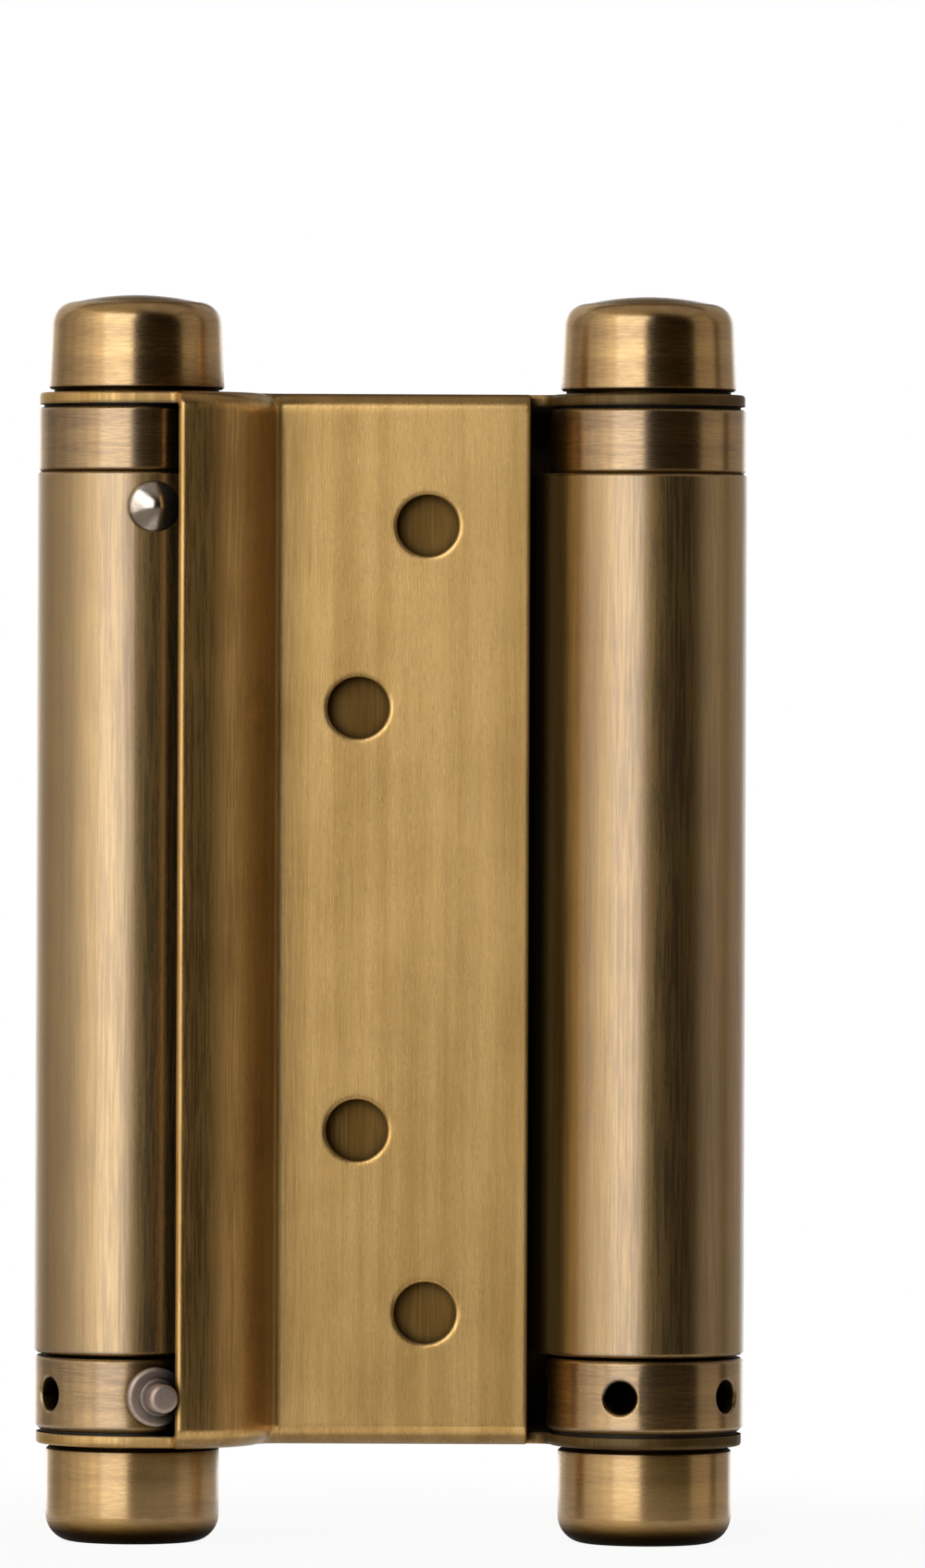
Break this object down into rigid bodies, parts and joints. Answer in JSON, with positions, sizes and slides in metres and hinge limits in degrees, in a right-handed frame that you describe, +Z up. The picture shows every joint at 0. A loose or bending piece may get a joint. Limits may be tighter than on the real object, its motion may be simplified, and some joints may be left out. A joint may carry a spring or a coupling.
{
  "type": "double action spring hinge",
  "caption": "Double action spring hinge for cafe doors: sprung barrels joined by a centre web, a folded screw leaf on each side, domed caps and tension collars with bar holes.",
  "frame": {"origin": "midway between the two spindle axes at half the height of the closed hinge", "axes": "+Z up along the spindles, +X from the door barrel to the jamb barrel, -Y towards the door leaf"},
  "size_m": [0.0676, 0.0263, 0.1186],
  "materials": {
    "leaf_brass": "brushed antique brass",
    "barrel_brass": "brushed antique brass",
    "collar_brass": "turned antique brass",
    "cap_brass": "turned antique brass",
    "rivet_nickel": "bright nickel",
    "pin_steel": "turned steel",
    "spindle_steel": "drawn steel",
    "spring_steel": "oiled spring steel",
    "washer_steel": "dark steel"
  },
  "bodies": {
    "jamb_leaf": {"jamb_leaf": "leaf_brass", "jamb_spindle": "spindle_steel", "jamb_top_cap": "cap_brass", "jamb_bottom_cap": "cap_brass", "jamb_top_washer": "washer_steel", "jamb_bottom_washer": "washer_steel"},
    "centre": {"centre_leaf": "barrel_brass", "door_anchor_bush": "collar_brass", "door_anchor_rivet": "rivet_nickel", "door_spring": "spring_steel", "jamb_anchor_bush": "collar_brass", "jamb_anchor_rivet": "rivet_nickel", "jamb_spring": "spring_steel"},
    "door_leaf": {"door_leaf": "leaf_brass", "door_spindle": "spindle_steel", "door_top_cap": "cap_brass", "door_bottom_cap": "cap_brass", "door_top_washer": "washer_steel", "door_bottom_washer": "washer_steel"},
    "door_collar": {"door_tension_collar": "collar_brass", "door_tension_pin": "pin_steel"},
    "jamb_collar": {"jamb_tension_collar": "collar_brass", "jamb_tension_pin": "pin_steel"}
  },
  "joints": [
    {"name": "jamb_hinge", "type": "hinge", "parent": "jamb_leaf", "child": "centre", "pos_m": [0.0244, 0, 0], "axis": [0, 0, 1], "range_deg": [0, 110], "stiffness_Nm_per_rad": 0.5, "springref_deg": -90, "deforming": ["jamb_spring"]},
    {"name": "door_hinge", "type": "hinge", "parent": "centre", "child": "door_leaf", "pos_m": [-0.0244, 0, 0], "axis": [0, 0, -1], "range_deg": [0, 110], "stiffness_Nm_per_rad": 0.5, "springref_deg": -90, "deforming": ["door_spring"]},
    {"name": "door_tension", "type": "hinge", "parent": "door_leaf", "child": "door_collar", "pos_m": [-0.0244, 0, -0.04512], "axis": [0, 0, -1], "range_deg": [0, 72], "stiffness_Nm_per_rad": 0.5, "springref_deg": -90, "deforming": ["door_spring"]},
    {"name": "jamb_tension", "type": "hinge", "parent": "jamb_leaf", "child": "jamb_collar", "pos_m": [0.0244, 0, -0.04512], "axis": [0, 0, -1], "range_deg": [0, 72], "stiffness_Nm_per_rad": 0.5, "springref_deg": -90, "deforming": ["jamb_spring"]}
  ]
}
